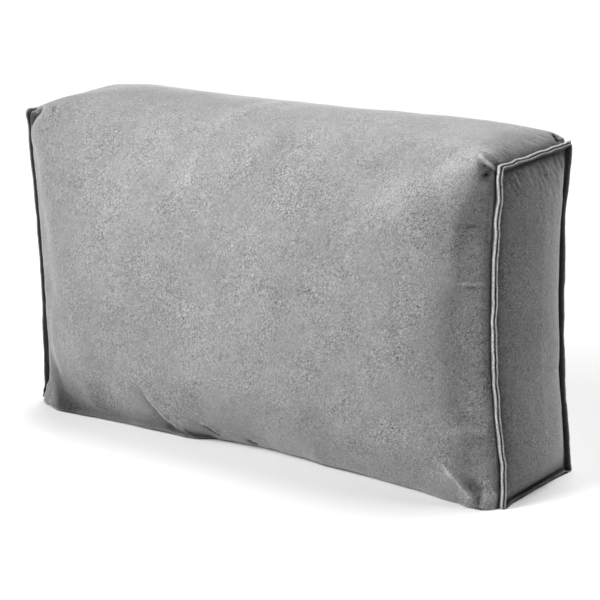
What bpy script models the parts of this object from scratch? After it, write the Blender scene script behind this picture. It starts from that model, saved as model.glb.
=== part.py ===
"""Box-shaped back cushion of a sofa, filled, standing on its long lower side.

One wrap panel goes round the front, top, back and underside, and a narrow end panel closes each end.
They are sewn with their edges turned outwards, so each end seam is a pair of standing lips.
Metres, +Z up, the front looks along -Y, and the origin is on the floor under the middle.
"""

import math

import bmesh
import bpy
from mathutils import Matrix, Vector

MM = 0.001

# Sewn sizes of the cover
SEAM_X = 392.2 * MM
PANEL_DEPTH = 150.6 * MM
SEAM_TOP_Z = 433.0 * MM
SEAM_BASE_Z = 5.5 * MM
MIDDLE_Z = 205.0 * MM

# How far the filling swells each side beyond its seams, and how far from an end seam it takes:
# boxy along the top and foot, and a rounder belly half-way up
FRONT_CROWN = 34.0 * MM
BACK_CROWN = 30.0 * MM
FRONT_BELLY = 46.0 * MM
BACK_BELLY = 36.0 * MM
BELLY_REACH = 95.0 * MM
BELLY_CURVE = 1.2
BASE_SAG = 11.0 * MM
SIDE_REACH = 38.0 * MM
TOP_CROWN = 24.4 * MM
TOP_REACH = 50.0 * MM
SEAM_ROLL = 10.8 * MM
SEAM_ROLL_REACH = 5.8 * MM

# How round the long edges are, and how far from an end seam they stay sharp
TOP_ROUNDNESS = 0.345
TOP_ROUNDNESS_REACH = 80.0 * MM
BASE_ROUNDNESS = 0.30
BASE_ROUNDNESS_REACH = 100.0 * MM

# The end seams are drawn in between their corners
RIGHT_WAIST = 12.5 * MM
LEFT_WAIST = 5.5 * MM
WAIST_SHAPE = 1.75
WAIST_REACH = 18.0 * MM

# Where the rear right seam wanders: its height, how far out it stands and how much taller its lips are, in mm
REAR_SEAM = [
    (0, 0, 1), (45, 0, 1), (77, 0.5, 1.5), (110, 0, 1), (130, 0, 2.5), (150, 2, 1), (174, 3.5, 0.5),
    (206, 3, 1), (238, 2, 1.5), (270, 1.5, 2), (303, 0, 1), (340, -2, 0), (380, -1, 0), (415, 1, 0.5),
    (441, 1, 0),
]

# Where the front of the foot stands: its place along the width, and how far forward it is pushed, in mm
FOOT_LINE = [
    (-400, 0), (-290, 0), (-240, 4), (-214, 6), (-176, 9), (-130, 10), (-108, 11), (-91, 5), (-76, -2),
    (-40, -8), (0, -9), (25, -10), (47, -8), (91, -5), (114, 0), (175, -2), (198, -3), (278, -3), (299, -1),
    (330, 3), (360, 8), (379, 15), (400, 15),
]
FOOT_HEIGHT = 30.0 * MM

# The end panels
END_CROWN = 21.0 * MM
END_CROWN_REACH = 18.0 * MM
END_CLOTH = 2.0 * MM
PIECE_GAP = 0.9 * MM

# The turned-out lips, which lie flatter along the floor
LIP_HEIGHT = 9.0 * MM
LIP_SHOULDER = 7.2 * MM
WRAP_LIP_BAND = 1.6 * MM
END_LIP_BAND = 2.7 * MM
LIP_TIP_SHARE = 0.72
LIP_DOWNWARD = 0.40

# Rings of the wrap's mesh round each end, as distances from the seam
RIGHT_RINGS_MM = [8, 15, 23, 32, 42, 53, 66, 82, 103, 130, 163, 200, 240, 280, 320, 360]
LEFT_RINGS_MM = [10, 18, 27, 37, 49, 64, 82, 103, 125, 145, 162, 178, 194, 212, 232, 255, 280, 305, 330, 360]

# Rows of the mesh from the underside to the top, and from the front to the back, on a cube of half side 1
ROWS_UP = [
    -0.975, -0.94, -0.90, -0.855, -0.80, -0.74, -0.67, -0.58, -0.47, -0.35, -0.22,
    -0.08, 0.07, 0.22, 0.36, 0.49, 0.60, 0.70, 0.79, 0.86, 0.92, 0.957,
]
ROWS_ACROSS = [-0.92, -0.82, -0.69, -0.54, -0.37, -0.19, 0.0, 0.19, 0.37, 0.54, 0.69, 0.82, 0.92]

# Folds of the wrap panel: half width and height in mm (negative for a hollow), and the line they follow in mm
FOLDS = [
    ("top right crease", 7, 4, [(391, -72, 437), (365, -74, 455), (345, -73, 459)]),
    ("top right dimple", 11, -9, [(382, -88, 433), (378, -90, 419)]),
    ("lower right crease", 9, 6, [(326, -112, 62), (345, -108, 38), (372, -104, 8)]),
    ("lower right hollow", 12, -10, [(356, -102, 26), (380, -93, 18)]),
    ("lower right puff", 9, 7, [(386, -92, 10), (387, -84, 25)]),
    ("right side drag", 9, 2, [(343, -104, 96), (382, -83, 105)]),
    ("lower left hollow", 17, -11, [(-366, -94, 17), (-338, -99, 17)]),
    ("lower left puff", 34, 5, [(-262, -110, 36), (-190, -106, 20)]),
    ("lower left crease", 11, -6, [(-194, -122, 87), (-176, -117, 59), (-162, -110, 38), (-145, -99, 20)]),
    ("lower front tuck", 11, -5, [(-142, -100, 22), (-114, -96, 15), (-84, -88, 10), (-62, -78, 5)]),
    ("small tuck", 10, -4, [(-21, -80, 11), (22, -76, 8)]),
    ("top left dimple", 12, -9, [(-382, -88, 434), (-380, -92, 420)]),
    ("top left arc", 18, 3,
     [(14, 3, 470), (-21, -38, 467), (-42, -66, 454), (-59, -89, 429), (-65, -104, 404), (-65, -117, 373)]),
    ("top left hollow", 20, -3, [(77, -80, 434), (43, -97, 407), (18, -114, 374)]),
    ("rear top pleat", 8, -5, [(366, 87, 449), (389, 79, 441)]),
]
FOLD_FREE_OF_SEAM = 12.0 * MM


def fullness(distance, reach):
    """0 at the seam, and 1 where the filling is free of it."""
    return 1.0 - math.exp(-distance / reach)


def side_of(a):
    return math.copysign(1.0, a)


def between(rows, place, column):
    """The value in this column of the table at a place between two of its rows."""
    for low, high in zip(rows, rows[1:]):
        if place < high[0]:
            share = max((place - low[0]) / (high[0] - low[0]), 0.0)
            return low[column] + (high[column] - low[column]) * share
    return rows[-1][column]


def rear_wander(side, b, c, column):
    """How far the rear right seam stands out (column 1), or how much taller its lips are (column 2)."""
    if side < 0.0 or b < 0.0:
        return 0.0
    height = MIDDLE_Z + c * (SEAM_TOP_Z - MIDDLE_Z)
    return b * b * between(REAR_SEAM, height / MM, column) * MM


def waist(side, b, c):
    """How far an end seam is drawn in towards the middle of the cushion."""
    depth = RIGHT_WAIST if side > 0.0 else LEFT_WAIST
    return depth * max(1.0 - c * c, 0.0) ** WAIST_SHAPE - rear_wander(side, b, c, 1)


def crown_depth(b, c, distance):
    """How far the front or back has swelled at this distance from the end seam."""
    crown, belly = (FRONT_CROWN, FRONT_BELLY) if b < 0.0 else (BACK_CROWN, BACK_BELLY)
    boxy = crown * fullness(distance, SIDE_REACH)
    soft = belly * (1.0 - math.exp(-((distance / BELLY_REACH) ** BELLY_CURVE)))
    share = min(abs(c), 1.0) ** 4
    return share * boxy + (1.0 - share) * soft


def wrap_point(a, b, c):
    """A place on the wrap panel, from a place on the sides of a cube of half side 1."""
    side = side_of(a)
    from_seam = (1.0 - abs(a)) * SEAM_X
    swell = fullness(from_seam, SIDE_REACH)
    roll = SEAM_ROLL * fullness(from_seam, SEAM_ROLL_REACH)
    half_depth = PANEL_DEPTH / 2 + crown_depth(b, c, from_seam) + roll
    if c > 0.0:
        reach = SEAM_TOP_Z - MIDDLE_Z + TOP_CROWN * fullness(from_seam, TOP_REACH) + roll
        roundness = TOP_ROUNDNESS * fullness(from_seam, TOP_ROUNDNESS_REACH)
    else:
        reach = MIDDLE_Z - SEAM_BASE_Z + BASE_SAG * swell + roll
        roundness = BASE_ROUNDNESS * fullness(from_seam, BASE_ROUNDNESS_REACH)
    inward = 1.0
    if roundness > 0.001:
        inward = (abs(b) ** (1.0 / roundness) + abs(c) ** (1.0 / roundness)) ** -roundness
    x = side * (SEAM_X - from_seam - waist(side, b, c) * math.exp(-from_seam / WAIST_REACH))
    return Vector((x, half_depth * inward * b, max(MIDDLE_Z + reach * inward * c, 0.0)))


def end_point(side, b, c, outward):
    """A place on the end of the filling, or this far out from it for the end panel's cloth."""
    reach = SEAM_TOP_Z - MIDDLE_Z if c > 0.0 else MIDDLE_Z - SEAM_BASE_Z
    across = fullness((1.0 - abs(b)) * PANEL_DEPTH / 2, END_CROWN_REACH)
    up = fullness((1.0 - abs(c)) * reach, END_CROWN_REACH)
    x = SEAM_X - waist(side, b, c) + END_CROWN * across * up + outward
    return Vector((side * x, b * PANEL_DEPTH / 2, MIDDLE_Z + reach * c))


def raised(point, seam, side, b, c, height):
    """The point moved along its lip until it stands this high over the seam."""
    across = side_of(b) if abs(b) > 0.999 else 0.0
    up = 0.0
    if abs(c) > 0.999:
        up = 1.0 if c > 0.0 else -LIP_DOWNWARD
    along = Vector((side, across, up)) * math.sqrt(0.5)
    stood = (point - seam).dot(along) / along.length_squared
    place = point + along * (height + rear_wander(side, b, c, 2) - stood)
    place.z = max(place.z, 0.0)
    return place


def wrap_lip_point(level, a, b, c):
    """A place on the wrap panel's lip: level 1 is its shoulder and level 2 its narrower tip."""
    side = side_of(a)
    seam = wrap_point(side, b, c)
    if level == 1:
        return raised(wrap_point(a, b, c), seam, side, b, c, LIP_SHOULDER)
    middle = side * (1.0 - WRAP_LIP_BAND / SEAM_X / 2)
    return raised(wrap_point(middle + (a - middle) * LIP_TIP_SHARE, b, c), seam, side, b, c, LIP_HEIGHT)


def at_seam(place, band):
    """The place moved to the edge of the end panel if it is in the band of the lip."""
    return side_of(place) if abs(place) > 1.0 - band - 1e-4 else place


def end_lip_point(level, side, b, c, band_across, band_up):
    """The same for an end panel's lip."""
    outward = PIECE_GAP + END_CLOTH
    edge_b = at_seam(b, band_across)
    edge_c = at_seam(c, band_up)
    seam = end_point(side, edge_b, edge_c, outward)
    if level == 1:
        return raised(end_point(side, b, c, outward), seam, side, edge_b, edge_c, LIP_SHOULDER)
    if edge_b in (-1.0, 1.0):
        middle = edge_b * (1.0 - band_across / 2)
        b = middle + (b - middle) * LIP_TIP_SHARE
    if edge_c in (-1.0, 1.0):
        middle = edge_c * (1.0 - band_up / 2)
        c = middle + (c - middle) * LIP_TIP_SHARE
    return raised(end_point(side, b, c, outward), seam, side, edge_b, edge_c, LIP_HEIGHT)


def fold_height(point):
    """How far the folds move a point of the wrap panel out, each by its distance from the fold's line."""
    total = 0.0
    for _, half_width, height, corners in FOLDS:
        line = [Vector(corner) * MM for corner in corners]
        nearest = 1.0
        for start, end in zip(line, line[1:]):
            run = end - start
            along = min(max((point - start).dot(run) / run.length_squared, 0.0), 1.0)
            nearest = min(nearest, (point - start - run * along).length)
        total += height * MM * math.exp(-((nearest / (half_width * MM)) ** 2))
    return total


def foot_push(point):
    """How far forward a point of the lower front is pushed, most at the floor."""
    front = min(max((-point.y - 20.0 * MM) / (50.0 * MM), 0.0), 1.0)
    low = math.exp(-((max(point.z, 0.0) / FOOT_HEIGHT) ** 1.5))
    return between(FOOT_LINE, point.x / MM, 1) * MM * front * low


def cut_rows(bm, axis, places):
    """Cuts the whole mesh across one axis at each of these places."""
    normal = Vector((0.0, 0.0, 0.0))
    normal[axis] = 1.0
    for place in places:
        everything = list(bm.verts) + list(bm.edges) + list(bm.faces)
        bmesh.ops.bisect_plane(bm, geom=everything, dist=1e-6, plane_co=normal * place, plane_no=normal)


def gridded_cube(cuts):
    """A cube of half side 1 cut into rows, whose points remember their places on it."""
    bm = bmesh.new()
    bmesh.ops.create_cube(bm, size=2.0)
    for axis, places in enumerate(cuts):
        cut_rows(bm, axis, places)
    place_layer = bm.verts.layers.float_vector.new("cube place")
    level_layer = bm.verts.layers.int.new("lip level")
    for vert in bm.verts:
        vert[place_layer] = vert.co
    return bm, place_layer, level_layer


def pull_out(bm, faces, level_layer):
    """Extrudes a ring of faces twice, for the shoulder and the tip of a lip."""
    for level in (1, 2):
        extruded = bmesh.ops.extrude_face_region(bm, geom=faces)["geom"]
        bmesh.ops.delete(bm, geom=faces, context="FACES")
        faces = [piece for piece in extruded if isinstance(piece, bmesh.types.BMFace)]
        for vert in (piece for piece in extruded if isinstance(piece, bmesh.types.BMVert)):
            vert[level_layer] = level


def new_object(name, bm, collection, material):
    bmesh.ops.recalc_face_normals(bm, faces=bm.faces)
    mesh = bpy.data.meshes.new(name)
    bm.to_mesh(mesh)
    bm.free()
    mesh.shade_smooth()
    mesh.set_sharp_from_angle(angle=math.radians(50.0))
    mesh.materials.append(material)
    collection.objects.link(bpy.data.objects.new(name, mesh))


def cushion_body(collection, material):
    """The filling in its wrap panel, with a lip of that panel standing round each end."""
    lip_place = 1.0 - WRAP_LIP_BAND / SEAM_X
    rings = [-lip_place, 0.0, lip_place]
    rings += [1.0 - ring * MM / SEAM_X for ring in RIGHT_RINGS_MM]
    rings += [ring * MM / SEAM_X - 1.0 for ring in LEFT_RINGS_MM]
    bm, place_layer, level_layer = gridded_cube([rings, ROWS_ACROSS, ROWS_UP])
    for side in (-1.0, 1.0):
        band = [f for f in bm.faces if lip_place < side * f.calc_center_median().x < 0.9999]
        pull_out(bm, band, level_layer)
    for vert in bm.verts:
        a, b, c = vert[place_layer]
        if abs(b) < 0.999 and abs(c) < 0.999:
            vert.co = end_point(side_of(a), b, c, 0.0)
        elif vert[level_layer] == 0:
            vert.co = wrap_point(a, b, c)
        else:
            vert.co = wrap_lip_point(vert[level_layer], a, b, c)
    bm.normal_update()
    folded = {}
    for vert in bm.verts:
        past_lip = (1.0 - abs(vert[place_layer].x)) * SEAM_X - WRAP_LIP_BAND
        if past_lip > 0.1 * MM:
            free = min(past_lip / FOLD_FREE_OF_SEAM, 1.0)
            place = vert.co + vert.normal * fold_height(vert.co) * free
            folded[vert] = place - Vector((0.0, foot_push(place) * free, 0.0))
    for vert, place in folded.items():
        vert.co = place
        vert.co.z = max(place.z, 0.0)
    new_object("cushion_body", bm, collection, material)


def end_panel(name, side, collection, material):
    """An end panel's cloth, swelled by the filling behind it, with its own lip all round."""
    band_across = END_LIP_BAND / (PANEL_DEPTH / 2)
    band_up = END_LIP_BAND / ((SEAM_TOP_Z - SEAM_BASE_Z) / 2)
    across = ROWS_ACROSS + [band_across - 1.0, 1.0 - band_across]
    up = ROWS_UP + [band_up - 1.0, 1.0 - band_up]
    bm, place_layer, level_layer = gridded_cube([[], across, up])
    band = []
    for face in bm.faces:
        middle = face.calc_center_median()
        if middle.x > 0.999 and (abs(middle.y) > 1.0 - band_across or abs(middle.z) > 1.0 - band_up):
            band.append(face)
    pull_out(bm, band, level_layer)
    for vert in bm.verts:
        a, b, c = vert[place_layer]
        if vert[level_layer] > 0:
            vert.co = end_lip_point(vert[level_layer], side, b, c, band_across, band_up)
        else:
            vert.co = end_point(side, b, c, PIECE_GAP + (END_CLOTH if a > 0.0 else 0.0))
    new_object(name, bm, collection, material)


def velvet(name):
    material = bpy.data.materials.new(name)
    material.use_nodes = True
    shader = material.node_tree.nodes["Principled BSDF"]
    shader.inputs["Base Color"].default_value = (0.36, 0.36, 0.36, 1.0)
    shader.inputs["Roughness"].default_value = 0.9
    shader.inputs["Metallic"].default_value = 0.0
    return material


def centre_on_floor(collection):
    """Moves the whole cushion so that the origin is on the floor under the middle of its outer sizes."""
    points = [vert.co for thing in collection.objects for vert in thing.data.vertices]
    middle_x = (min(p.x for p in points) + max(p.x for p in points)) / 2
    middle_y = (min(p.y for p in points) + max(p.y for p in points)) / 2
    for thing in collection.objects:
        thing.data.transform(Matrix.Translation((-middle_x, -middle_y, 0.0)))


def main():
    for thing in list(bpy.data.objects):
        bpy.data.objects.remove(thing)
    collection = bpy.data.collections.new("back cushion")
    bpy.context.scene.collection.children.link(collection)
    cushion_body(collection, velvet("wrap_velvet"))
    end_panel("end_panel_right", 1.0, collection, velvet("right_end_velvet"))
    end_panel("end_panel_left", -1.0, collection, velvet("left_end_velvet"))
    centre_on_floor(collection)


main()
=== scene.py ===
# Grey velvet back cushion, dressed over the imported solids: the wrap panel with its folds,
# the end panels, the turned-out seams and the velvet. Metres, front towards -Y, floor at z = 0.
import math

import bmesh
import bpy
import numpy as np
from mathutils import Matrix, Vector, noise


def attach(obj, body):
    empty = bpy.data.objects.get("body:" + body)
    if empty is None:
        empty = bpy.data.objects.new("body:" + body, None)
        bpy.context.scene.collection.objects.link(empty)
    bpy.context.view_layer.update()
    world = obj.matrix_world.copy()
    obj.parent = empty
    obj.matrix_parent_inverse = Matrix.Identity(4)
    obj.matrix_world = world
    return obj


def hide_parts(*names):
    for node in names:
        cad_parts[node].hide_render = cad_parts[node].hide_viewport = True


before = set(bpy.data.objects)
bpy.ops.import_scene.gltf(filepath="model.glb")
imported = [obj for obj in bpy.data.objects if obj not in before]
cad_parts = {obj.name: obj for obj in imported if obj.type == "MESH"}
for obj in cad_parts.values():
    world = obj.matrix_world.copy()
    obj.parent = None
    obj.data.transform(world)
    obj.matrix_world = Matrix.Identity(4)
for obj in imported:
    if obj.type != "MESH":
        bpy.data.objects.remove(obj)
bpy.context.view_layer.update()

shape = {  # sewn sizes of the cover, and how the filling swells it
    "seamX": 0.3922, "halfDepth": 0.0753, "topZ": 0.433, "baseZ": 0.0055, "middleZ": 0.205,
    "frontCrown": 0.034, "backCrown": 0.030, "baseSag": 0.011, "sideReach": 0.038,  # along the top and foot
    "frontBelly": 0.046, "backBelly": 0.036, "bellyReach": 0.095, "bellyCurve": 1.2,  # half-way up
    "topCrown": 0.0300, "topReach": 0.070, "roll": 0.0108, "rollReach": 0.0058,
    "topRound": 0.345, "topRoundReach": 0.080, "baseRound": 0.30, "baseRoundReach": 0.100,
    "rightWaist": 0.0125, "leftWaist": 0.0055, "waistShape": 1.75, "waistReach": 0.018,
    "endCrown": 0.025, "endReach": 0.026, "endOut": 0.0026,
    # the folded left lips: how far from underside to top, where it ends, and how far it draws the seam out
    "leftFold": [(-1, 0.70), (-0.95, 0.40), (-0.86, -0.05), (-0.5, 0.05), (0.2, 0.35), (1, 0.45)],
    "foldEnd": 0.93, "foldPull": 0.0060,
    "dragFrom": 0.88, "dragReach": 0.030,  # of the lower corners
    "rightDrag": (0, -0.0050, -0.0042), "leftDrag": (-0.0070, -0.0020, 0),
    "lift": 0.009, "liftFrom": 0.70, "liftReach": 0.033,  # of the lower left front corner
    "centre": Vector((0.0008, 0.0050, 0.0)),  # of the seams, in the frame
}


def fullness(distance, reach):
    return 1.0 - math.exp(-distance / reach)


def readRows(value, rows, column=1):
    # what a table says between its rows
    return np.interp(value, [row[0] for row in rows], [row[column] for row in rows])


def seamReach(c):
    # from the middle of the height to the top seam, or to the lower one
    return shape["topZ"] - shape["middleZ"] if c > 0 else shape["middleZ"] - shape["baseZ"]


def cornerShare(b, c, start):
    # 0 up to the start, and 1 at the corners of the section
    return max(min(abs(b), abs(c)) - start, 0.0) / (1 - start)


# Where the right seams wander, in front and behind (mm): height, how far out, how much taller their lips are
frontSeam = [
    (0, 0.5, 0), (22, 3.4, 0), (44, 4.8, 0), (66, 4.4, 0), (90, 3, 0), (120, 3.6, 0), (150, 2.9, 0),
    (180, 1.8, 0), (215, 1.9, 0), (236, 2.2, 0), (260, 1.5, 0), (300, 0.4, 0), (340, -1, 0), (370, -1, 0),
    (395, 0, 0),
]
rearSeam = [
    (26, 0, 1), (65, 0, 1), (93, 0.5, 1.5), (122, 0, 1), (139, 0, 2.5), (157, 2, 1), (178, 3.5, 0.5),
    (206, 3, 1), (238, 2, 1.5), (270, 1.5, 2), (303, 0, 1), (340, -2, 0), (380, -1, 0), (415, 1, 0.5),
    (441, 1, 0),
]


def crownDepth(front, distance, c):
    # how far the front or back has swelled: boxy along the top and foot, and a rounder belly between them
    crown, belly = ("frontCrown", "frontBelly") if front else ("backCrown", "backBelly")
    boxy = shape[crown] * fullness(distance, shape["sideReach"])
    soft = shape[belly] * (1.0 - math.exp(-((distance / shape["bellyReach"]) ** shape["bellyCurve"])))
    share = min(abs(c), 1.0) ** 4
    return share * boxy + (1 - share) * soft


def seamWander(side, b, c, column):
    # of the right end's seams alone, in metres
    if side < 0:
        return 0.0
    height = (shape["middleZ"] + c * seamReach(c)) * 1000
    return b * b * float(readRows(height, rearSeam if b > 0 else frontSeam, column)) * 0.001


def leftFold(side, b, c):
    # the left lips are folded back along the front, most at the lower corner, and run out at the upper one
    if side > 0 or b > -0.5:
        return 0.0
    corner = max(c - shape["foldEnd"], 0.0) / (1 - shape["foldEnd"])
    return float(readRows(c, shape["leftFold"])) * (1 - corner * corner) * (-2 * b - 1) ** 2


def waistAt(side, b, c):
    # how far the end's seam is drawn in
    depth = shape["rightWaist"] if side > 0 else shape["leftWaist"]
    waist = depth * max(1.0 - c * c, 0.0) ** shape["waistShape"] - seamWander(side, b, c, 1)
    return waist - shape["foldPull"] * leftFold(side, b, c)


def cornerDrag(side, b, c, fromSeam=0.0):
    # the right seams' lower corners are dragged down to the floor, the left seams' stand out a little,
    # and the front ones come forward
    if c > 0:
        return Vector((0, 0, 0))
    share = cornerShare(b, c, shape["dragFrom"]) ** 1.5 * math.exp(-fromSeam / shape["dragReach"])
    x, y, z = shape["rightDrag"] if side > 0 else shape["leftDrag"]
    return Vector((x * share, y * share if b < 0 else 0, z * share))


def cornerLift(side, b, c, fromSeam):
    # the lower left front corner hangs clear of the floor
    if side > 0 or b > 0 or c > 0:
        return 0.0
    share = cornerShare(b, c, shape["liftFrom"]) ** 1.5
    return shape["lift"] * share * math.exp(-((fromSeam / shape["liftReach"]) ** 2))


def wrapPoint(side, fromSeam, b, c):
    # b runs from front to back and c from underside to top, each -1 to 1 round the section
    roll = shape["roll"] * fullness(fromSeam, shape["rollReach"])
    halfDepth = shape["halfDepth"] + crownDepth(b < 0, fromSeam, c) + roll
    if c > 0:
        swell = shape["topCrown"] * fullness(fromSeam, shape["topReach"])
        roundness = shape["topRound"] * fullness(fromSeam, shape["topRoundReach"])
    else:
        swell = shape["baseSag"] * fullness(fromSeam, shape["sideReach"])
        roundness = shape["baseRound"] * fullness(fromSeam, shape["baseRoundReach"])
    reach = seamReach(c) + swell + roll
    inward = 1.0
    if roundness > 0.001:
        inward = (abs(b) ** (1 / roundness) + abs(c) ** (1 / roundness)) ** -roundness
    x = side * (shape["seamX"] - fromSeam - waistAt(side, b, c) * math.exp(-fromSeam / shape["waistReach"]))
    place = Vector((x, halfDepth * inward * b, shape["middleZ"] + reach * inward * c))
    place += cornerDrag(side, b, c, fromSeam)
    place.z = max(place.z, 0.0) + cornerLift(side, b, c, fromSeam)
    return place


def endPoint(side, b, c):
    # on an end panel, which is dished along its seams
    across = fullness((1 - abs(b)) * shape["halfDepth"], shape["endReach"])
    up = fullness((1 - abs(c)) * seamReach(c), shape["endReach"])
    x = shape["seamX"] - waistAt(side, b, c) + shape["endCrown"] * across * up + shape["endOut"]
    place = Vector((side * x, b * shape["halfDepth"], shape["middleZ"] + seamReach(c) * c))
    return place + cornerDrag(side, b, c)


seam = {  # the turned-out seam allowances, guided through the machine by hand, so a little uneven
    "lipHeight": 0.009, "lipDown": 0.40,  # the lips lie flatter along the floor
    "lean": 0.10, "leanWaver": 0.24, "heightWaver": 0.14, "drift": 0.0009, "steadyTo": 0.006,
    "offFloor": 0.0004, "rimFrom": 0.9999,
    "panelTo": 0.0004,  # what stands lower than this counts as panel
    "flareFrom": 0.86, "cornerFlare": 0.16, "cornerCurl": 0.0022,  # at the four corners
    "floorFrom": 0.93, "floorTurn": 0.6,  # the right lips turn down to the floor at their lower corners
    "paleFrom": 0.0086, "farShade": 0.16, "farReach": 0.040,  # of the painted shade in and beside the seam
}


def seamFrame(side, b, c):
    # directions out along the lips, and across them towards the wrap panel
    across = math.copysign(1, b) if abs(b) > seam["rimFrom"] else 0.0
    up = 0.0
    if abs(c) > seam["rimFrom"]:
        up = 1.0 if c > 0 else -seam["lipDown"]
    if c < 0 and side > 0:
        up -= seam["floorTurn"] * cornerShare(b, c, seam["floorFrom"]) ** 2
    along = Vector((side, across, up)) * math.sqrt(0.5)
    toWrap = Vector((-side, across, up)) * math.sqrt(0.5)
    place = Vector((side * 3.1, b * 2.2, c * 6.0))  # where the noise of the lean is read
    lean = seam["lean"] + seam["leanWaver"] * noise.noise(place * 1.7)
    cos, sin = math.cos(lean), math.sin(lean)
    return along * cos - toWrap * sin, toWrap * cos + along * sin


def lipPlace(start, side, b, c, across, height):
    # a point of a lip's section: so far across from the seam line, and so high over it
    along, toWrap = seamFrame(side, b, c)
    place = Vector((side * 7.7, b * 2.6, c * 7.5))  # where the noise of the height and drift is read
    waver = 1.0 + seam["heightWaver"] * (noise.noise(place) + 0.5 * noise.noise(place * 3.1))
    edge = cornerShare(b, c, seam["flareFrom"])
    taller = seamWander(side, b, c, 2) / seam["lipHeight"]
    waver += seam["cornerFlare"] * edge * edge + taller - leftFold(side, b, c)
    drift = seam["drift"] * (noise.noise(place * 2.3) + noise.noise(place * 5.1))
    curl = seam["cornerCurl"] if side > 0 or c > 0 else 0.0  # not where the lips are folded away
    drift = (drift + curl * edge * noise.noise(place * 9.0)) * min(height / seam["steadyTo"], 1.0)
    point = start + along * (height * waver) + toWrap * (across + drift)
    point.z = max(point.z, seam["offFloor"])
    return point


def readVectors(source, key):
    values = np.empty(len(source) * 3)
    source.foreach_get(key, values)
    return values.reshape(-1, 3)


def coordinates(mesh):
    return readVectors(mesh.vertices, "co")


def normals(mesh):
    return readVectors(mesh.vertex_normals, "vector")


def setCoordinates(mesh, co):
    mesh.vertices.foreach_set("co", co.ravel())
    mesh.update()


def pointValues(mesh, name):
    values = np.empty(len(mesh.vertices))
    mesh.attributes[name].data.foreach_get("value", values)
    return values


def keepValues(mesh, name, values):
    mesh.attributes.new(name, "FLOAT", "POINT").data.foreach_set("value", values.astype(np.float32))


def edgeEnds(mesh):
    ends = np.empty(len(mesh.edges) * 2, dtype=np.int64)
    mesh.edges.foreach_get("vertices", ends)
    return ends.reshape(-1, 2).T


def edgeMean(ends, atFirst, atSecond, total):
    # each point's mean over its edges, of what they bring to their first and to their second end
    first, second = ends
    count = np.maximum(np.bincount(ends.ravel(), minlength=total), 1)
    return (np.bincount(first, atFirst, total) + np.bincount(second, atSecond, total)) / count


def around(ends, values):
    # the mean of each point's neighbours
    if values.ndim > 1:
        return np.stack([around(ends, column) for column in values.T], axis=1)
    first, second = ends
    return edgeMean(ends, values[second], values[first], len(values))


def meshObject(name, bm):
    bmesh.ops.recalc_face_normals(bm, faces=bm.faces)
    mesh = bpy.data.meshes.new(name)
    bm.to_mesh(mesh)
    bm.free()
    mesh.shade_smooth()
    piece = bpy.data.objects.new(name, mesh)
    bpy.context.scene.collection.objects.link(piece)
    return piece


def subdivided(piece, levels):
    modifier = piece.modifiers.new("finer cloth", "SUBSURF")
    modifier.levels = modifier.render_levels = levels
    finer = bpy.data.meshes.new_from_object(piece.evaluated_get(bpy.context.evaluated_depsgraph_get()))
    piece.modifiers.clear()
    piece.data = finer
    finer.shade_smooth()


wrap = {  # the wrap panel, its rings counted from an end
    "crease": 0.0016, "firstStep": 0.0014, "stepGrowth": 1.12, "largestStep": 0.0105,
    "rowsUp": 56, "rowsAcross": 26, "crowding": 0.55,
    # how far its seam's painted shade reaches, and how pale its lip tips are painted, as wear and painted
    # highlight
    "shadeReach": 0.0009, "tipWearAndHighlight": 2.6, "pileTurn": (0.0, 0.62, 0.0),
    # section of its lip, from the inner side over the tip and down the outer side: across, height
    "lip": [
        (0.0000, 0.0006), (0.0001, 0.0030), (-0.0001, 0.0056), (0.0001, 0.0076), (0.0011, 0.0088),
        (0.0026, 0.0086), (0.0036, 0.0071), (0.0034, 0.0050), (0.0029, 0.0030), (0.0029, 0.0016),
    ],
}

foldWork = {
    "narrow": 7,  # folds up to this half width (mm) get a finer mesh and run out at both ends
    "edge": 3.2, "zoneScale": 1.3, "zoneMargin": 3, "runOut": 5, "least": 0.15,
    "near": 0.015,  # nearer than this (m), a point's distance is measured along the cloth
}
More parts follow.
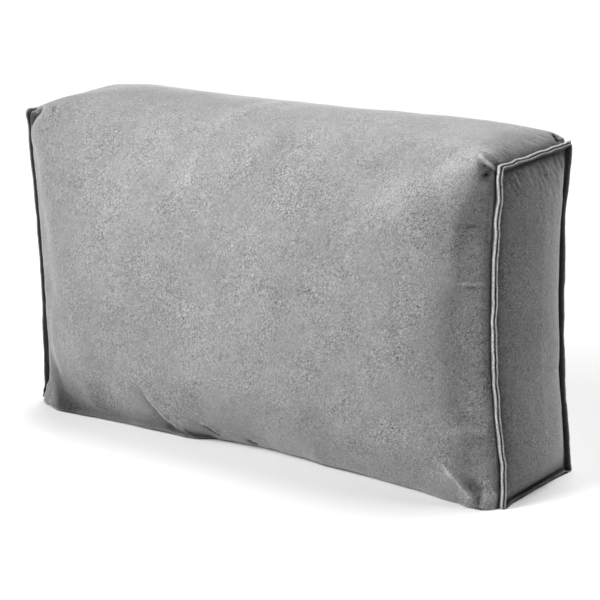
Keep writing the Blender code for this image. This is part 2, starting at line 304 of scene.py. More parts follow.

# Folds of the wrap (mm): half width, height (negative for a hollow), sharpness, how pale it paints the cloth
# as wear and painted highlight (negative for painted shade in its hollow), and its line; rows without height
# only paint: painted shade, and paler patches
folds = {
    "top right ridge": (1.6, 3.3, 1.7, 1.9, [
        (370, -87, 449), (374, -88, 446), (379, -88, 444), (383, -87, 442),
        (388, -84, 439), (394, -80, 434), (402, -74, 427),
    ]),
    "top right crest": (12, 3, 1.8, 0.20, [(372, -84, 450), (352, -78, 456), (320, -72, 462)]),
    "top right shoulder": (26, 5.5, 2.0, 0.34, [
        (388, -84, 441), (358, -98, 431), (332, -102, 420), (306, -105, 405), (273, -111, 386),
    ]),
    "top right run": (32, 4, 2.0, 0.16, [(273, -111, 386), (225, -117, 362)]),
    "top right brow": (15, 1, 2.0, 0.34, [(367, -96, 436), (345, -99, 427)]),
    "top right dimple": (9, -5.4, 2.2, -0.84, [(383, -90, 439), (387, -86, 436), (384, -89, 431)]),
    "top right pleats": (9, -1, 2.0, -0.25, [(385, -70, 443), (387, -46, 442)]),
    "top right shade": (20, -3, 2.0, -0.30, [(383, -89, 418), (379, -90, 396), (374, -92, 359)]),
    "right side shade": (50, 0, 2.0, -0.24, [(362, -96, 320), (356, -96, 190)]),
    "top right patch": (30, 1, 2.0, 0.15, [(340, -40, 465), (300, -60, 462)]),
    "lower right crease": (4.2, 3.6, 1.6, 0.60, [
        (324, -109, 57), (333, -107, 48), (343, -104, 39),
        (354, -102, 24), (365, -99, 13), (373, -97, 5),
    ]),
    "lower right slope": (12, 3, 1.8, 0.16, [(336, -106, 38), (358, -101, 10)]),
    "lower right hollow": (12, -5, 2.2, -0.50, [(367, -99, 26), (375, -95, 20), (378, -94, 9)]),
    "lower right puff": (11, 5, 2.2, 0.60, [(388, -88, 4), (388, -86, 15)]),
    "lower right shade": (26, -2, 2.0, -0.24, [(358, -104, 66), (373, -94, 84)]),
    "right side drag": (6, 1.6, 2.0, 0.15, [(339, -105, 102), (385, -79, 98)]),
    "right side dip": (7, -1.2, 2.0, -0.12, [(345, -104, 116), (384, -83, 116)]),
    "middle drag": (2.6, 0.7, 1.6, 0.18, [(341, -103, 292), (384, -79, 290)]),
    "upper drag": (4, -0.7, 1.8, -0.06, [(335, -105, 361), (385, -85, 364)]),
    "lower left hollow": (22, -4, 2.4, -0.46, [(-352, -103, 58), (-348, -104, 38), (-332, -106, 18)]),
    "lower left corner": (8, 5, 2.0, 0.10, [(-384, -88, 28), (-386, -88, 15)]),
    "lower left shade": (24, -2, 2.0, -0.66, [
        (-340, -103, 10), (-259, -102, 10), (-193, -97, 10), (-156, -91, 8),
    ]),
    "lower left slack": (40, -1.5, 2.0, 0.0, [(-356, -112, 66), (-310, -118, 60)]),
    "lower left puff": (34, 4, 2.0, 0.0, [(-262, -110, 36), (-190, -106, 20)]),
    "lower left line": (12, 1.6, 2.0, 0.06, [(-186, -127, 112), (-172, -122, 78)]),
    "lower left crease": (2.8, 1.6, 1.4, 0.12, [
        (-161, -119, 62), (-154, -114, 50), (-146, -113, 43),
        (-134, -103, 28), (-112, -95, 16), (-99, -81, 1),
    ]),
    "lower left brow": (10, 3, 2.0, 0.08, [(-150, -118, 62), (-136, -112, 44)]),
    "lower left trough": (9, -1.8, 1.8, -0.22, [
        (-178, -122, 76), (-164, -116, 54), (-150, -107, 34), (-140, -100, 20),
    ]),
    "lower left underside": (10, -3, 2.4, -1.1, [(-132, -92, 12), (-103, -88, 8), (-80, -84, 4)]),
    "front tuck": (3, -3, 1.4, -0.50, [(-77, -104, 30), (-68, -95, 17), (-57, -87, 7)]),
    "front tuck edge": (3, 1.8, 1.4, 0.28, [(-80, -106, 34), (-68, -103, 30), (-56, -94, 17)]),
    "small tuck": (4, -3, 1.5, -0.55, [(-14, -92, 14), (-9, -87, 7), (2, -84, 4)]),
    "left patch": (14, -2, 2.0, -0.12, [(-252, -122, 97), (-238, -122, 92)]),
    "top left dimple": (13, -9, 2.0, -0.3, [(-379, -89, 433), (-369, -92, 440)]),
    "top left pocket": (8.5, -4, 3.0, -1.0, [
        (-366, -90, 445), (-378, -88, 441), (-386, -85, 431), (-388, -84, 422),
    ]),
    "top left slope": (42, -4, 2.0, 0.0, [(-372, -60, 446), (-335, 10, 452)]),
    "top left pleat": (7, -1.2, 2.0, -0.16, [(-336, -91, 447), (-328, -88, 450)]),
    "upper paler patch": (24, 0, 2.0, 0.24, [(95, -106, 400), (92, -118, 372)]),
    "upper left paler patch": (20, 0, 2.0, 0.12, [(-62, -112, 386), (-88, -122, 351)]),
    "right side paler patch": (24, 0, 2.0, 0.16, [(240, -124, 202), (236, -126, 175)]),
    "lower right paler patch": (24, 0, 2.0, 0.15, [(249, -121, 83), (270, -117, 60)]),
    "lower paler patch": (18, 0, 2.0, 0.12, [(126, -127, 94)]),
    "lower left painted shade": (34, 0, 2.0, -0.34, [(-362, -98, 53), (-322, -108, 40), (-272, -113, 44)]),
    "top left painted shade": (60, 0, 2.0, -0.16, [(-100, -25, 471), (-300, -30, 465)]),
    "left side painted shade": (70, 0, 2.0, -0.14, [(-330, -105, 400), (-312, -116, 230), (-270, -122, 150)]),
    "top paler patch": (36, 0, 2.0, 0.14, [
        (40, -20, 473), (120, -28, 472), (219, -36, 470), (312, -42, 464),
    ]),
    "top right painted shade": (26, 0, 2.0, -0.12, [(370, -45, 450), (366, 5, 452)]),
    "top left arc": (15, 3, 1.5, 0.20, [
        (8, 4, 470), (-19, -41, 466), (-44, -62, 456),
        (-59, -84, 434), (-61, -102, 404), (-59, -116, 374),
    ]),
    "top left hollow": (20, -2.5, 2.0, -0.08, [(77, -80, 434), (43, -97, 407), (18, -114, 374)]),
    "rear top pleat": (4, -4, 1.6, -0.80, [(374, 80, 449), (383, 73, 445), (389, 70, 439)]),
    "rear top corner": (6, 2, 2.0, 0.25, [(389, 80, 440), (384, 85, 443)]),
}


def ringDistances():
    # close beside the seam, and wider apart towards the middle
    places, step, here = [wrap["crease"]], wrap["firstStep"], wrap["crease"]
    while here + step * 1.4 < shape["seamX"]:
        here += step
        places.append(here)
        step = min(step * wrap["stepGrowth"], wrap["largestStep"])
    return places


def crowded(part):
    # -1 to 1, with closer rows next to the corners
    return 2 * (part - wrap["crowding"] * math.sin(2 * math.pi * part) / (2 * math.pi)) - 1


def sectionRows():
    # round the section: up the front, back over the top, down the back and forward underneath
    up, across = wrap["rowsUp"], wrap["rowsAcross"]
    rows = [(-1.0, crowded(i / up)) for i in range(up)]
    rows += [(crowded(i / across), 1.0) for i in range(across)]
    rows += [(1.0, -crowded(i / up)) for i in range(up)]
    rows += [(-crowded(i / across), -1.0) for i in range(across)]
    return rows + rows[:1]


def seamDepth(distance, height, reach):
    # 1 where the cloth lies deep in the seam, falling to 0 at a lip's tip, and slowly out on the panel: the
    # painted shade of the seam
    if height > 0:
        return max(1.0 - (height / seam["paleFrom"]) ** 4, 0.0)
    near, far = math.exp(-distance / reach), math.exp(-distance / seam["farReach"])
    return (1 - seam["farShade"]) * near + seam["farShade"] * far


def wrapPanel():
    # columns run from one end's seam to the other's: its lip, its rings, and the same again mirrored
    half = [(0.0, across, height) for across, height in wrap["lip"]]
    half += [(fromSeam, 0.0, 0.0) for fromSeam in ringDistances()]
    columns = [(-1, *c) for c in half] + [(1, shape["seamX"], 0.0, 0.0)] + [(1, *c) for c in reversed(half)]
    rows = sectionRows()
    bm = bmesh.new()
    bmesh.ops.create_grid(bm, x_segments=len(columns) - 1, y_segments=len(rows) - 1, size=1.0)
    distance = bm.verts.layers.float.new("seamDistance")
    standing = bm.verts.layers.float.new("lipHeight")
    depth = bm.verts.layers.float.new("seamDepth")
    flat = bm.verts.layers.float_vector.new("restPlace")
    for vert in bm.verts:
        side, fromSeam, across, height = columns[round((vert.co.x + 1) / 2 * (len(columns) - 1))]
        b, c = rows[round((vert.co.y + 1) / 2 * (len(rows) - 1))]
        place = wrapPoint(side, fromSeam, b, c)
        if height > 0:
            place = lipPlace(place, side, b, c, across, height)
        vert.co = place + shape["centre"]
        vert[flat] = vert.co
        vert[distance] = fromSeam
        vert[standing] = height
        # painted shade of the seam, deepest at the lip roots
        vert[depth] = seamDepth(fromSeam - wrap["crease"], height, wrap["shadeReach"])
    bmesh.ops.remove_doubles(bm, verts=bm.verts, dist=0.00002)
    return meshObject("wrapPanel", bm)


foot = {
    "height": 0.030, "frontFrom": 0.02, "frontReach": 0.05, "seamReach": 0.012,
    # where the lower front stands on the floor (mm): place along the width, how far it is pushed forward
    "line": [
        (-400, 0), (-380, 1), (-350, 8), (-330, 9), (-290, 5), (-240, 6), (-214, 7), (-176, 10),
        (-130, 13), (-108, 15), (-91, 8), (-76, -2), (-40, -8), (0, -9), (25, -10), (47, -8),
        (91, -5), (114, 0), (175, -2), (198, -3), (278, -3), (299, -2), (330, -1), (345, -3),
        (360, 1), (376, 7), (385, 12), (400, 16),
    ],
}


def setFoot(piece):
    # the lower front goes forward, most at the floor, and nothing at the seams or behind
    mesh = piece.data
    co = coordinates(mesh)
    push = readRows((co[:, 0] - shape["centre"].x) * 1000, foot["line"]) * 0.001
    push *= np.exp(-(np.maximum(co[:, 2], 0) / foot["height"]) ** 1.5)
    push *= np.clip((-co[:, 1] - foot["frontFrom"]) / foot["frontReach"], 0, 1)
    push *= np.clip((pointValues(mesh, "seamDistance") - wrap["crease"]) / foot["seamReach"], 0, 1)
    co[:, 1] -= push
    co[:, 2] = np.maximum(co[:, 2], 0.0)
    setCoordinates(mesh, co)


pressure = {  # of the filling, and where it is held back: next to the seams and the floor
    "frames": 14, "force": 1.2, "growth": 0.018, "hold": 0.06, "cap": 0.005,
    "calm": 6,  # the cloth is too stiff for wrinkles narrower than so many rounds of smoothing
    "sewnTo": 0.003, "seamReach": 0.045, "seamLeast": 0.3, "footTo": 0.004, "footReach": 0.060,
}


def settleCloth(piece):
    # the cloth is cut a little large and held at its seams, so the pressure of the filling puckers it there
    mesh = piece.data
    before = coordinates(mesh)
    distance = pointValues(mesh, "seamDistance")
    fixed = (distance < pressure["sewnTo"]) | (before[:, 2] < pressure["footTo"])
    fixed |= pointValues(mesh, "lipHeight") > 0
    held = piece.vertex_groups.new(name="held")
    for chosen, weight in ((fixed, 1.0), (~fixed, pressure["hold"])):
        held.add(np.nonzero(chosen)[0].tolist(), weight, "REPLACE")
    cloth = piece.modifiers.new("pressure", "CLOTH")
    settings = cloth.settings
    settings.quality = 5
    settings.mass = 0.25
    settings.tension_stiffness = settings.compression_stiffness = 12
    settings.shear_stiffness = 4
    settings.bending_stiffness = 0.15
    settings.vertex_group_mass = "held"
    settings.use_pressure = True
    settings.uniform_pressure_force = pressure["force"]
    settings.shrink_min = settings.shrink_max = -pressure["growth"]
    settings.effector_weights.gravity = 0.0
    cloth.collision_settings.use_collision = False
    scene = bpy.context.scene
    cloth.point_cache.frame_start, cloth.point_cache.frame_end = 1, pressure["frames"]
    for frameNumber in range(1, pressure["frames"] + 1):
        scene.frame_set(frameNumber)
    settled = piece.evaluated_get(bpy.context.evaluated_depsgraph_get()).to_mesh()
    move = coordinates(settled) - before
    piece.modifiers.clear()
    scene.frame_set(1)
    ends = edgeEnds(mesh)
    for _ in range(pressure["calm"]):
        move = 0.5 * move + 0.5 * around(ends, move)
    length = np.linalg.norm(move, axis=1)
    move *= np.minimum(1.0, pressure["cap"] / np.maximum(length, 1e-9))[:, None]
    move *= np.clip(distance / pressure["seamReach"], pressure["seamLeast"], 1.0)[:, None]
    move *= np.clip(before[:, 2] / pressure["footReach"], 0.0, 1.0)[:, None]
    co = before + move
    co[:, 2] = np.maximum(co[:, 2], 0.0)
    setCoordinates(mesh, co)
    print("cloth settled, largest move", round(float(length.max()) * 1000, 1), "mm")


def lineDistance(co, out, corners):
    # how far each point is from a line, and how far along the line that is (0 to 1)
    line = np.array(corners) * 0.001 + np.array(shape["centre"])
    lengths = np.linalg.norm(np.diff(line, axis=0), axis=1)
    nearest, part, before = np.full(len(co), 1.0), np.zeros(len(co)), 0.0
    for start, end, length in zip(line, line[1:], lengths):
        run = end - start
        along = np.clip((co - start) @ run / (run @ run), 0, 1)
        away = co - start - along[:, None] * run
        flat = away - out * (away * out).sum(axis=1)[:, None]
        far = np.linalg.norm(away, axis=1)
        far = np.where(far < foldWork["near"], np.linalg.norm(flat, axis=1), far)
        part = np.where(far < nearest, (before + along * length) / lengths.sum(), part)
        nearest = np.minimum(nearest, far)
        before += length
    return nearest, part


def foldField(co, out):
    # how far the folds lift the cloth, and how pale or dark they paint it (wear, painted highlight and
    # painted shade); the narrow ones run out at both ends
    lift, wearAndShade = np.zeros(len(co)), np.zeros(len(co))
    for halfWidth, height, sharpness, wornAndShaded, corners in folds.values():
        away, part = lineDistance(co, out, corners)
        share = np.exp(-(away / (halfWidth * 0.001)) ** sharpness)
        if halfWidth <= foldWork["narrow"]:
            share *= np.clip(np.minimum(part, 1 - part) * foldWork["runOut"], foldWork["least"], 1)
        lift += height * 0.001 * share
        wearAndShade += wornAndShaded * share
    return lift, wearAndShade


# Where the seams pucker most: half width of the finer mesh there, longest edge left, and the line in mm
puckered = [
    (16, 3.2, [(384, -66, 444), (385, 0, 446), (384, 66, 444)]),
    (20, 5.0, [(384, -86, 20), (372, -86, 220), (384, -86, 425)]),
]


def refineMesh(piece):
    # a finer mesh where the narrow folds and the puckers run
    bm = bmesh.new()
    bm.from_mesh(piece.data)
    flat = bm.verts.layers.float_vector["restPlace"]
    narrow = [(fold[0], fold[-1]) for fold in folds.values() if fold[0] <= foldWork["narrow"]]
    zones = puckered + [
        (halfWidth * foldWork["zoneScale"] + foldWork["zoneMargin"], foldWork["edge"], corners)
        for halfWidth, corners in narrow
    ]
    for _ in range(2):
        middles = np.array([(edge.verts[0][flat] + edge.verts[1][flat]) / 2 for edge in bm.edges])
        facing = np.array([edge.verts[0].normal for edge in bm.edges])
        lengths = np.array([edge.calc_length() for edge in bm.edges])
        near = np.zeros(len(lengths), dtype=bool)
        for reach, longest, corners in zones:
            away = lineDistance(middles, facing, corners)[0]
            near |= (away < reach * 0.001) & (lengths > longest * 0.001)
        chosen = [edge for edge, wanted in zip(bm.edges, near) if wanted]
        bmesh.ops.subdivide_edges(bm, edges=chosen, cuts=1, use_grid_fill=True)
    bm.to_mesh(piece.data)
    bm.free()


puckers = {
    "height": 0.0016, "reach": 0.026, "width": 0.009, "length": 0.055, "slant": 0.7, "seamReach": 0.008,
    "topFrom": 0.43, "topWidth": 0.0060, "topHeight": 0.0008,  # finer and lower on the top
    "dents": 0.0011, "dentScale": 11, "smallDentScale": 23, "ripples": 0.0003, "rippleScale": 70,
    "foldReach": 0.003,  # how soon the folds start beside the seam
    "lipShare": 0.3,  # how much of the folds' wear and painted shade the lips take
}


def finishWrap(piece):
    # puckers along the seams, dents and ripples all over, and the folds with their wear, painted highlight
    # and painted shade
    mesh = piece.data
    co, out = coordinates(mesh), normals(mesh)
    distance = pointValues(mesh, "seamDistance")
    onPanel = pointValues(mesh, "lipHeight") <= seam["panelTo"]
    move = np.zeros(len(co))
    for i in np.nonzero(onPanel)[0]:
        point, s = Vector(co[i]), distance[i]
        side = 1 if point.x > 0 else -1
        width, height = puckers["width"], puckers["height"]
        if point.z > puckers["topFrom"]:
            width, height = puckers["topWidth"], puckers["topHeight"]
        across = (point.y + s * puckers["slant"]) / width
        place = Vector((s / puckers["length"] + side * 9, across, point.z / puckers["width"]))
        pucker = noise.noise(place) + 0.5 * noise.noise(place * 2.1)
        dent = noise.noise(point * puckers["dentScale"])
        dent += 0.6 * noise.noise(point * puckers["smallDentScale"])
        ripple = noise.noise(point * puckers["rippleScale"])
        free = min(max((s - wrap["crease"]) / puckers["seamReach"], 0.0), 1.0)
        move[i] = height * pucker * math.exp(-s / puckers["reach"])
        move[i] = free * (move[i] + puckers["dents"] * dent + puckers["ripples"] * ripple)
    lift, wearAndShade = foldField(readVectors(mesh.attributes["restPlace"].data, "vector"), out)
    move += lift * np.clip((distance - wrap["crease"]) / puckers["foldReach"], 0, 1) * onPanel
    co += out * move[:, None]
    co[:, 2] = np.maximum(co[:, 2], 0.0)
    setCoordinates(mesh, co)
    # the folds' wear, painted highlight and painted shade, kept for the velvet
    keepValues(mesh, "foldWearAndShade", wearAndShade * np.where(onPanel, 1.0, puckers["lipShare"]))


def closeEnds(piece, sink=0.014, narrower=0.96):
    # each open end gets a short sleeve turned inside and a cap, so that nothing shows through the panels
    bm = bmesh.new()
    bm.from_mesh(piece.data)
    made = bmesh.ops.extrude_edge_only(bm, edges=[edge for edge in bm.edges if edge.is_boundary])["geom"]
    for vert in [item for item in made if isinstance(item, bmesh.types.BMVert)]:
        vert.co.x -= math.copysign(sink, vert.co.x)
        vert.co.y *= narrower
    bmesh.ops.holes_fill(bm, edges=bm.edges, sides=0)
    bmesh.ops.recalc_face_normals(bm, faces=bm.faces)
    bm.to_mesh(piece.data)
    bm.free()
    piece.data.shade_smooth()


endPanel = {
    "rowsAcross": 38, "rowsUp": 92, "crease": 0.0034, "halfHeight": 0.214,
    # painted shade along its seams and under its top seam, and painted light rising towards the rear
    "shadeReach": 0.0030, "topShade": 0.36, "topReach": 0.035, "rearPaintedLight": 0.12,
    # lip tips painted pale (wear and painted highlight); its velvet painted a little darker than the wrap's,
    # as shade
    "tipWearAndHighlight": 1.8, "pileTurn": (0.5, 0.0, 0.0), "shadeTint": 0.93,
    "puckers": 0.0033, "puckerReach": 0.024, "puckerVary": 1.2, "varyScale": 55,
    "warp": 0.006, "warpScale": 38, "seamReach": 0.008,
    # two kinds of pucker: where their noise is read, slant, width, length, share
    "broad": (4, 0.30, 0.0065, 0.018, 1.0), "fine": (5, 0.55, 0.0042, 0.011, 0.7),
    "drags": 0.0008, "dragReach": 0.020, "dragLength": 0.050, "dragWidth": 0.011,
    "dents": 0.0009, "dentScale": 17,
    # section of its lip, from the outer side over the tip and down the inner side: away from the wrap, height
    "lip": [
        (-0.0017, 0.0006), (-0.0019, 0.0026), (-0.0020, 0.0048), (-0.0018, 0.0067), (-0.0011, 0.0081),
        (-0.0001, 0.0080), (0.0005, 0.0066), (0.0007, 0.0044), (0.0007, 0.0020),
    ],
}


def panelPlaces(count, step):
    # evenly from -1 to 1, with one narrow row along each seam
    return [-1.0] + [(2 * i / count - 1) * (1 - step) for i in range(count + 1)] + [1.0]


def rimDistance(b, c):
    # how far in from the nearest seam
    return min((1 - abs(b)) * shape["halfDepth"], (1 - abs(c)) * endPanel["halfHeight"])


def endPanelPiece(name, side):
    halfSeam = (shape["topZ"] - shape["baseZ"]) / 2
    placesB = panelPlaces(endPanel["rowsAcross"], endPanel["crease"] / shape["halfDepth"])
    placesC = panelPlaces(endPanel["rowsUp"], endPanel["crease"] / halfSeam)
    bm = bmesh.new()
    bmesh.ops.create_grid(bm, x_segments=len(placesB) - 1, y_segments=len(placesC) - 1, size=1.0)
    placeLayer = bm.verts.layers.float_vector.new("panelPlace")
    standing = bm.verts.layers.float.new("lipHeight")
    depth = bm.verts.layers.float.new("seamDepth")
    for vert in bm.verts:
        b = placesB[round((vert.co.x + 1) / 2 * (len(placesB) - 1))]
        c = placesC[round((vert.co.y + 1) / 2 * (len(placesC) - 1))]
        vert[placeLayer] = (b, c, 0)
        vert[depth] = seamDepth(rimDistance(b, c), 0.0, endPanel["shadeReach"])
        # painted shade under the top seam, darker towards the front and painted lighter towards the rear
        topShade = endPanel["topShade"] * math.exp(-(1 - c) * endPanel["halfHeight"] / endPanel["topReach"])
        vert[depth] += topShade - endPanel["rearPaintedLight"] * b
        vert.co = endPoint(side, b, c) + shape["centre"]
    rim = [edge for edge in bm.edges if edge.is_boundary]
    for ring, (lipAcross, height) in enumerate(endPanel["lip"]):
        if ring > 0:
            made = bmesh.ops.extrude_edge_only(bm, edges=rim)["geom"]
            rim = [item for item in made if isinstance(item, bmesh.types.BMEdge) and item.is_boundary]
        for vert in {vert for edge in rim for vert in edge.verts}:
            b, c, _ = vert[placeLayer]
            vert[standing] = height
            vert[depth] = seamDepth(0.0, height, endPanel["shadeReach"])
            vert.co = lipPlace(endPoint(side, b, c), side, b, c, lipAcross, height) + shape["centre"]
    return meshObject(name, bm)


def finishEndPanel(piece, side):
    # puckers that hang from the top seam, drags beside the upright ones, and dents
    mesh = piece.data
    co, out = coordinates(mesh), normals(mesh)
    panelPlace = readVectors(mesh.attributes["panelPlace"].data, "vector")
    move = np.zeros(len(co))
    for i in np.nonzero(pointValues(mesh, "lipHeight") <= seam["panelTo"])[0]:
        b, c, _ = panelPlace[i]
        point = Vector(co[i])
        fromTop = (1 - c) * endPanel["halfHeight"]
        fromFront = (1 - abs(b)) * shape["halfDepth"]
        warp = endPanel["warp"] * noise.noise(point * endPanel["warpScale"])
        pucker = 0.0
        for kind, turn in (("broad", 1), ("fine", -1)):
            where, slant, width, length, share = endPanel[kind]
            across = (point.y + slant * point.z + turn * warp) / width
            pucker += share * noise.noise(Vector((side * where, across, fromTop / length)))
        pucker *= 1.0 + endPanel["puckerVary"] * noise.noise(point * endPanel["varyScale"])
        dragPlace = Vector((side * 6, fromFront / endPanel["dragLength"], point.z / endPanel["dragWidth"]))
        drag = noise.noise(dragPlace)
        dent = noise.noise(point * endPanel["dentScale"] + Vector((5, 0, 0)))
        free = min(max((rimDistance(b, c) - endPanel["crease"]) / endPanel["seamReach"], 0.0), 1.0)
        move[i] = endPanel["puckers"] * pucker * math.exp(-fromTop / endPanel["puckerReach"])
        move[i] += endPanel["drags"] * drag * math.exp(-fromFront / endPanel["dragReach"])
        move[i] = free * (move[i] + endPanel["dents"] * dent)
    setCoordinates(mesh, co + out * move[:, None])


velvetLook = {
    "colour": (0.2025, 0.2025, 0.2045), "roughness": 0.88, "specular": 0.15,
    "sheen": 0.60, "sheenRoughness": 0.32, "bump": 0.30, "bumpDepth": 0.0012,
    # the nap, from large clouds to single tufts: size in metres, how far it shades the colour, how long it is
    # drawn out along the lean (the smaller, the longer), detail
    "clouds": (0.080, 0.15, 1.0, 1.0), "patches": (0.015, 0.17, 0.7, 3.0),
    "strokes": (0.0022, 0.58, 0.40, 2.0), "tufts": (0.0014, 1.40, 0.7, 1.0),
    "waviness": 1.6, "wavyUnder": 0.01,  # only the fine nap is wavy
    "brushed": (0.045, 1.15, 0.6, 2.0), "leastBrushed": 0.25,  # where the fine nap shows more or less
    # how pale the ridges and lip tips are painted (wear and painted highlight), and how dark the painted
    # shade in hollows and seams
    "wearAndShade": {"ridge": 0.55, "hollow": -0.80, "crease": -0.90}, "leastWornAndShaded": 0.06,
}


def node(tree, kind, place, **values):
    made = tree.nodes.new(kind)
    made.location = place
    for key, value in values.items():
        setattr(made, key, value)
    return made


def mathNode(tree, place, operation, first, second):
    made = node(tree, "ShaderNodeMath", place, operation=operation)
    for socket, value in zip(made.inputs, (first, second)):
        if isinstance(value, (int, float)):
            socket.default_value = value
        else:
            tree.links.new(value, socket)
    return made.outputs[0]


def attributeNode(tree, place, name):
    return node(tree, "ShaderNodeAttribute", place, attribute_name=name).outputs["Fac"]


def napNoise(tree, row, where, turn, nap):
    # noise about zero, drawn out along the way the pile leans
    size, depth, stretch, detail = velvetLook[nap]
    waviness = velvetLook["waviness"] if size < velvetLook["wavyUnder"] else 0.0
    lean = node(tree, "ShaderNodeMapping", (-900, row), vector_type="TEXTURE")
    lean.inputs["Rotation"].default_value = turn
    lean.inputs["Scale"].default_value = (size, size, size / stretch)
    tree.links.new(where, lean.inputs["Vector"])
    made = node(tree, "ShaderNodeTexNoise", (-700, row))
    made.inputs["Scale"].default_value = 1.0
    made.inputs["Detail"].default_value = detail
    made.inputs["Roughness"].default_value = 0.55
    made.inputs["Distortion"].default_value = waviness
    tree.links.new(lean.outputs["Vector"], made.inputs["Vector"])
    centred = mathNode(tree, (-500, row), "SUBTRACT", made.outputs["Fac"], 0.5)
    return mathNode(tree, (-340, row), "MULTIPLY", centred, depth * 2)


def velvetMaterial(name, turn, shadeTint=1.0):
    material = bpy.data.materials.new(name)
    material.use_nodes = True
    tree = material.node_tree
    shader = tree.nodes["Principled BSDF"]
    shader.location = (900, 0)
    shader.inputs["Roughness"].default_value = velvetLook["roughness"]
    shader.inputs["Specular IOR Level"].default_value = velvetLook["specular"]
    shader.inputs["Sheen Weight"].default_value = velvetLook["sheen"]
    shader.inputs["Sheen Roughness"].default_value = velvetLook["sheenRoughness"]
    where = node(tree, "ShaderNodeTexCoord", (-1100, 0)).outputs["Object"]
    naps = {}
    for row, nap in enumerate(("clouds", "patches", "strokes", "tufts")):
        naps[nap] = napNoise(tree, 450 - row * 250, where, turn, nap)
    mottle = mathNode(tree, (-160, 350), "ADD", naps["clouds"], naps["patches"])
    brushed = mathNode(tree, (-160, -400), "ADD", napNoise(tree, -550, where, turn, "brushed"), 1.0)
    brushed = mathNode(tree, (-80, -400), "MAXIMUM", brushed, velvetLook["leastBrushed"])
    fine = mathNode(tree, (-160, 0), "ADD", naps["strokes"], naps["tufts"])
    fine = mathNode(tree, (-120, -100), "MULTIPLY", fine, brushed)
    shade = mathNode(tree, (0, 200), "ADD", mathNode(tree, (-80, 100), "ADD", mottle, fine), 1.0)
    # paler along its ridges and lip tips (wear and painted highlight), and painted shade in hollows and along
    # the seams
    wearAndShade = {}
    for row, (kind, gain) in enumerate(velvetLook["wearAndShade"].items()):
        kept = attributeNode(tree, (-160, 600 + row * 200), kind)
        wearAndShade[kind] = mathNode(tree, (0, 500 + row * 200), "MULTIPLY", kept, gain)
    wornAndShaded = mathNode(tree, (120, 500), "ADD", wearAndShade["ridge"], wearAndShade["hollow"])
    wornAndShaded = mathNode(tree, (160, 500), "ADD", wornAndShaded, 1.0)
    wornAndShaded = mathNode(tree, (200, 600), "MAXIMUM", wornAndShaded, velvetLook["leastWornAndShaded"])
    # painted shade along the seams
    paintedSeamShade = mathNode(tree, (200, 800), "ADD", wearAndShade["crease"], 1.0)
    wornAndShaded = mathNode(tree, (300, 700), "MULTIPLY", wornAndShaded, paintedSeamShade)
    shade = mathNode(tree, (360, 400), "MULTIPLY", shade, wornAndShaded)
    colour = node(tree, "ShaderNodeVectorMath", (560, 200), operation="SCALE")
    # the end panels' copy is painted a little darker, as shade
    colour.inputs[0].default_value = [v * shadeTint for v in velvetLook["colour"]]
    tree.links.new(shade, colour.inputs["Scale"])
    tree.links.new(colour.outputs["Vector"], shader.inputs["Base Color"])
    bump = node(tree, "ShaderNodeBump", (560, -300))
    bump.inputs["Strength"].default_value = velvetLook["bump"]
    bump.inputs["Distance"].default_value = velvetLook["bumpDepth"]
    tree.links.new(mathNode(tree, (200, -300), "ADD", fine, mottle), bump.inputs["Height"])
    tree.links.new(bump.outputs["Normal"], shader.inputs["Normal"])
    return material


# ridges and lip tips painted pale (wear and painted highlight), hollows and seams painted with shade
wearAndShadeLook = {
    "rounds": 3, "ridgeBend": 110, "ridgeLeast": 0.10, "tipFrom": 0.0056, "tipReach": 0.0022, "foldMost": 2.5,
    "hollowBend": 80, "hollowLeast": 0.05, "hollowMost": 0.6,
    # the wrap's lip at the front left gets no pale tip, and painted shade between the floor and the top
    # corner
    "leftShade": 0.80, "leftHeight": 0.004, "leftFront": -0.05,
    "leftFrom": 0.010, "leftFade": 0.02, "leftTop": 0.437, "leftTopFade": 0.006,
    # how far the folds' paler paint takes away the painted shade of the seam, and of the hollows
    "openedBy": 1.6, "openedMost": 0.75, "clearedBy": 2,
}


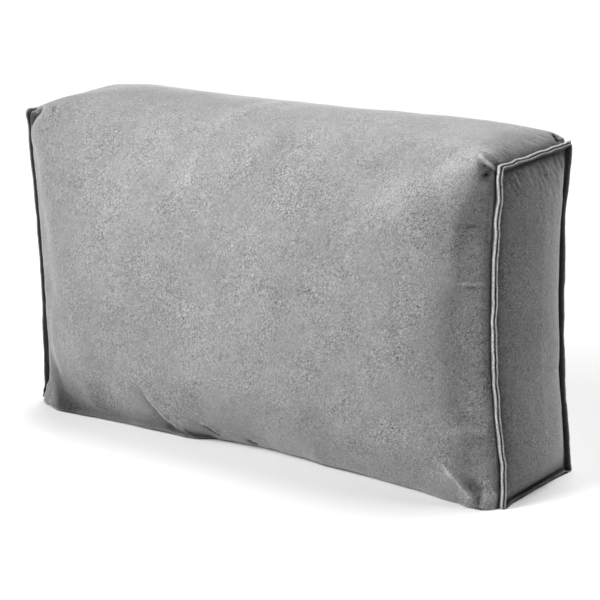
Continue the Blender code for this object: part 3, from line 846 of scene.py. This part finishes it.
def wearAndShadeMaps(piece, tipWearAndHighlight):
    # keeps how ridged or hollow the cloth is at each point, and how deep it lies in the seam: pale ridges and
    # lip tips as wear and painted highlight, painted shade in hollows and seams
    mesh = piece.data
    co, out = coordinates(mesh), normals(mesh)
    ends = edgeEnds(mesh)
    length = np.linalg.norm(co[ends[0]] - co[ends[1]], axis=1)
    spacing = np.maximum(edgeMean(ends, length, length, len(co)), 1e-5)
    bend = ((around(ends, co) - co) * out).sum(axis=1) / spacing ** 2
    for _ in range(wearAndShadeLook["rounds"]):
        bend = 0.5 * bend + 0.5 * around(ends, bend)
    standing = pointValues(mesh, "lipHeight")
    # the lip tips painted pale: wear and painted highlight
    tips = tipWearAndHighlight * np.clip((standing - wearAndShadeLook["tipFrom"]) / wearAndShadeLook["tipReach"], 0, 1)
    folded, left = np.zeros(len(co)), np.zeros(len(co))
    if "foldWearAndShade" in mesh.attributes:
        folded = pointValues(mesh, "foldWearAndShade")
        # painted shade on the wrap's lip at the front left
        left = (standing > wearAndShadeLook["leftHeight"]) & (co[:, 0] < 0) & (co[:, 1] < wearAndShadeLook["leftFront"])
        tips[left] = 0.0
        left = left * np.clip((co[:, 2] - wearAndShadeLook["leftFrom"]) / wearAndShadeLook["leftFade"], 0, 1)
        left *= np.clip((wearAndShadeLook["leftTop"] - co[:, 2]) / wearAndShadeLook["leftTopFade"], 0, 1)
    # paler on ridges (wear and painted highlight), painted shade in hollows, along the seams and on the front
    # left lip
    ridge = np.clip(-bend / wearAndShadeLook["ridgeBend"] - wearAndShadeLook["ridgeLeast"], 0, 1)
    hollow = np.clip(bend / wearAndShadeLook["hollowBend"] - wearAndShadeLook["hollowLeast"], 0, wearAndShadeLook["hollowMost"])
    crease = np.clip(pointValues(mesh, "seamDepth") + wearAndShadeLook["leftShade"] * left, 0, 1)
    seamShadeLifted = np.clip(folded * wearAndShadeLook["openedBy"], 0, wearAndShadeLook["openedMost"])
    cleared = np.clip(folded * wearAndShadeLook["clearedBy"], 0, 1)
    keepValues(mesh, "ridge", np.maximum(ridge, tips) + np.clip(folded, 0, wearAndShadeLook["foldMost"]))
    keepValues(mesh, "hollow", hollow * (1 - cleared) + np.clip(-folded, 0, 1))
    keepValues(mesh, "crease", crease * (1 - seamShadeLifted))


def dress(piece, nodeName, material, tipWearAndHighlight):
    wearAndShadeMaps(piece, tipWearAndHighlight)
    piece.data.materials.append(material)
    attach(piece, "root")
    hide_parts(nodeName)


view = {
    "azimuth": 38.08, "elevation": 15.68, "roll": -1.975, "distance": 2.8825, "lens": 126.0,
    "aim": Vector((0, 0, 0.22)), "slide": (0.01843, -0.0243),
}


def fromFront(azimuth, elevation):
    azimuth, elevation = math.radians(azimuth), math.radians(elevation)
    level = math.cos(elevation)
    return Vector((math.sin(azimuth) * level, -math.cos(azimuth) * level, math.sin(elevation)))


def placeCamera():
    azimuth, roll = math.radians(view["azimuth"]), math.radians(view["roll"])
    back = fromFront(view["azimuth"], view["elevation"])
    level = Vector((math.cos(azimuth), math.sin(azimuth), 0))
    upright = back.cross(level)
    right = level * math.cos(roll) + upright * math.sin(roll)
    up = upright * math.cos(roll) - level * math.sin(roll)
    data = bpy.data.cameras.new("photo camera")
    data.lens, data.sensor_width = view["lens"], 36.0
    data.clip_start, data.clip_end = 0.1, 100.0
    camera = bpy.data.objects.new("photo camera", data)
    place = view["aim"] + shape["centre"]
    for direction, far in ((back, view["distance"]), (right, view["slide"][0]), (up, view["slide"][1])):
        place += direction * far
    camera.matrix_world = Matrix.Translation(place) @ Matrix((right, up, back)).transposed().to_4x4()
    bpy.context.scene.collection.objects.link(camera)
    bpy.context.scene.camera = camera


studio = {
    "world": 0.02, "floor": (0.76, 0.76, 0.76), "floorSize": 30.0, "aim": Vector((0, 0, 0.25)),
    # name, azimuth from the front towards the right, elevation, strength, softness in degrees
    "suns": [
        ("left key", -46, 26, 1.70, 35),
        ("rear right", 150, 68, 2.95, 35),
        ("rear left", -150, 40, 1.15, 35),
    ],
    "sunDistance": 5.0,
    "softbox": ("front softbox", -13, 38, 1.3, 18.5, 0.6),  # name, azimuth, elevation, distance, power, width
}


def placeLight(data, direction, distance):
    lamp = bpy.data.objects.new(data.name, data)
    turn = direction.to_track_quat("Z", "Y").to_matrix().to_4x4()
    lamp.matrix_world = Matrix.Translation(studio["aim"] + direction * distance) @ turn
    bpy.context.scene.collection.objects.link(lamp)


def buildStudio():
    scene = bpy.context.scene
    scene.view_settings.view_transform = "Standard"
    bm = bmesh.new()
    bmesh.ops.create_grid(bm, x_segments=1, y_segments=1, size=studio["floorSize"])
    bmesh.ops.translate(bm, verts=bm.verts, vec=(0, 0, -0.0002))  # just clear of the cushion's underside
    floor = meshObject("floor", bm)
    paint = bpy.data.materials.new("pale floor")
    paint.use_nodes = True
    shader = paint.node_tree.nodes["Principled BSDF"]
    shader.inputs["Base Color"].default_value = (*studio["floor"], 1)
    shader.inputs["Roughness"].default_value = 0.9
    shader.inputs["Specular IOR Level"].default_value = 0.1
    floor.data.materials.append(paint)
    world = bpy.data.worlds.new("soft studio")
    world.use_nodes = True
    world.node_tree.nodes["Background"].inputs["Color"].default_value = (1, 1, 1, 1)
    world.node_tree.nodes["Background"].inputs["Strength"].default_value = studio["world"]
    scene.world = world
    for name, azimuth, elevation, strength, softness in studio["suns"]:
        data = bpy.data.lights.new(name, "SUN")
        data.energy, data.angle = strength, math.radians(softness)
        placeLight(data, fromFront(azimuth, elevation), studio["sunDistance"])
    name, azimuth, elevation, distance, power, width = studio["softbox"]
    data = bpy.data.lights.new(name, "AREA")
    data.energy, data.size = power, width
    placeLight(data, fromFront(azimuth, elevation), distance)


placeCamera()
buildStudio()
print("camera and studio placed")

wrapPiece = wrapPanel()
setFoot(wrapPiece)
print("wrap panel laid out,", len(wrapPiece.data.vertices), "points")
settleCloth(wrapPiece)
refineMesh(wrapPiece)
subdivided(wrapPiece, 1)
finishWrap(wrapPiece)
closeEnds(wrapPiece)
velvet = velvetMaterial("wrap velvet", wrap["pileTurn"])
dress(wrapPiece, "cushion_body", velvet, wrap["tipWearAndHighlight"])
print("wrap panel finished,", sum(len(face.vertices) - 2 for face in wrapPiece.data.polygons), "triangles")

for name, nodeName, side, slot in (
    ("endPanelRight", "end_panel_right", 1, "right_end_velvet"),
    ("endPanelLeft", "end_panel_left", -1, "left_end_velvet"),
):
    panel = endPanelPiece(name, side)
    subdivided(panel, 1)
    finishEndPanel(panel, side)
    closeEnds(panel)
    # the same velvet, painted a little darker as shade
    velvet = velvetMaterial(name + " velvet", endPanel["pileTurn"], endPanel["shadeTint"])
    dress(panel, nodeName, velvet, endPanel["tipWearAndHighlight"])
print("end panels finished")
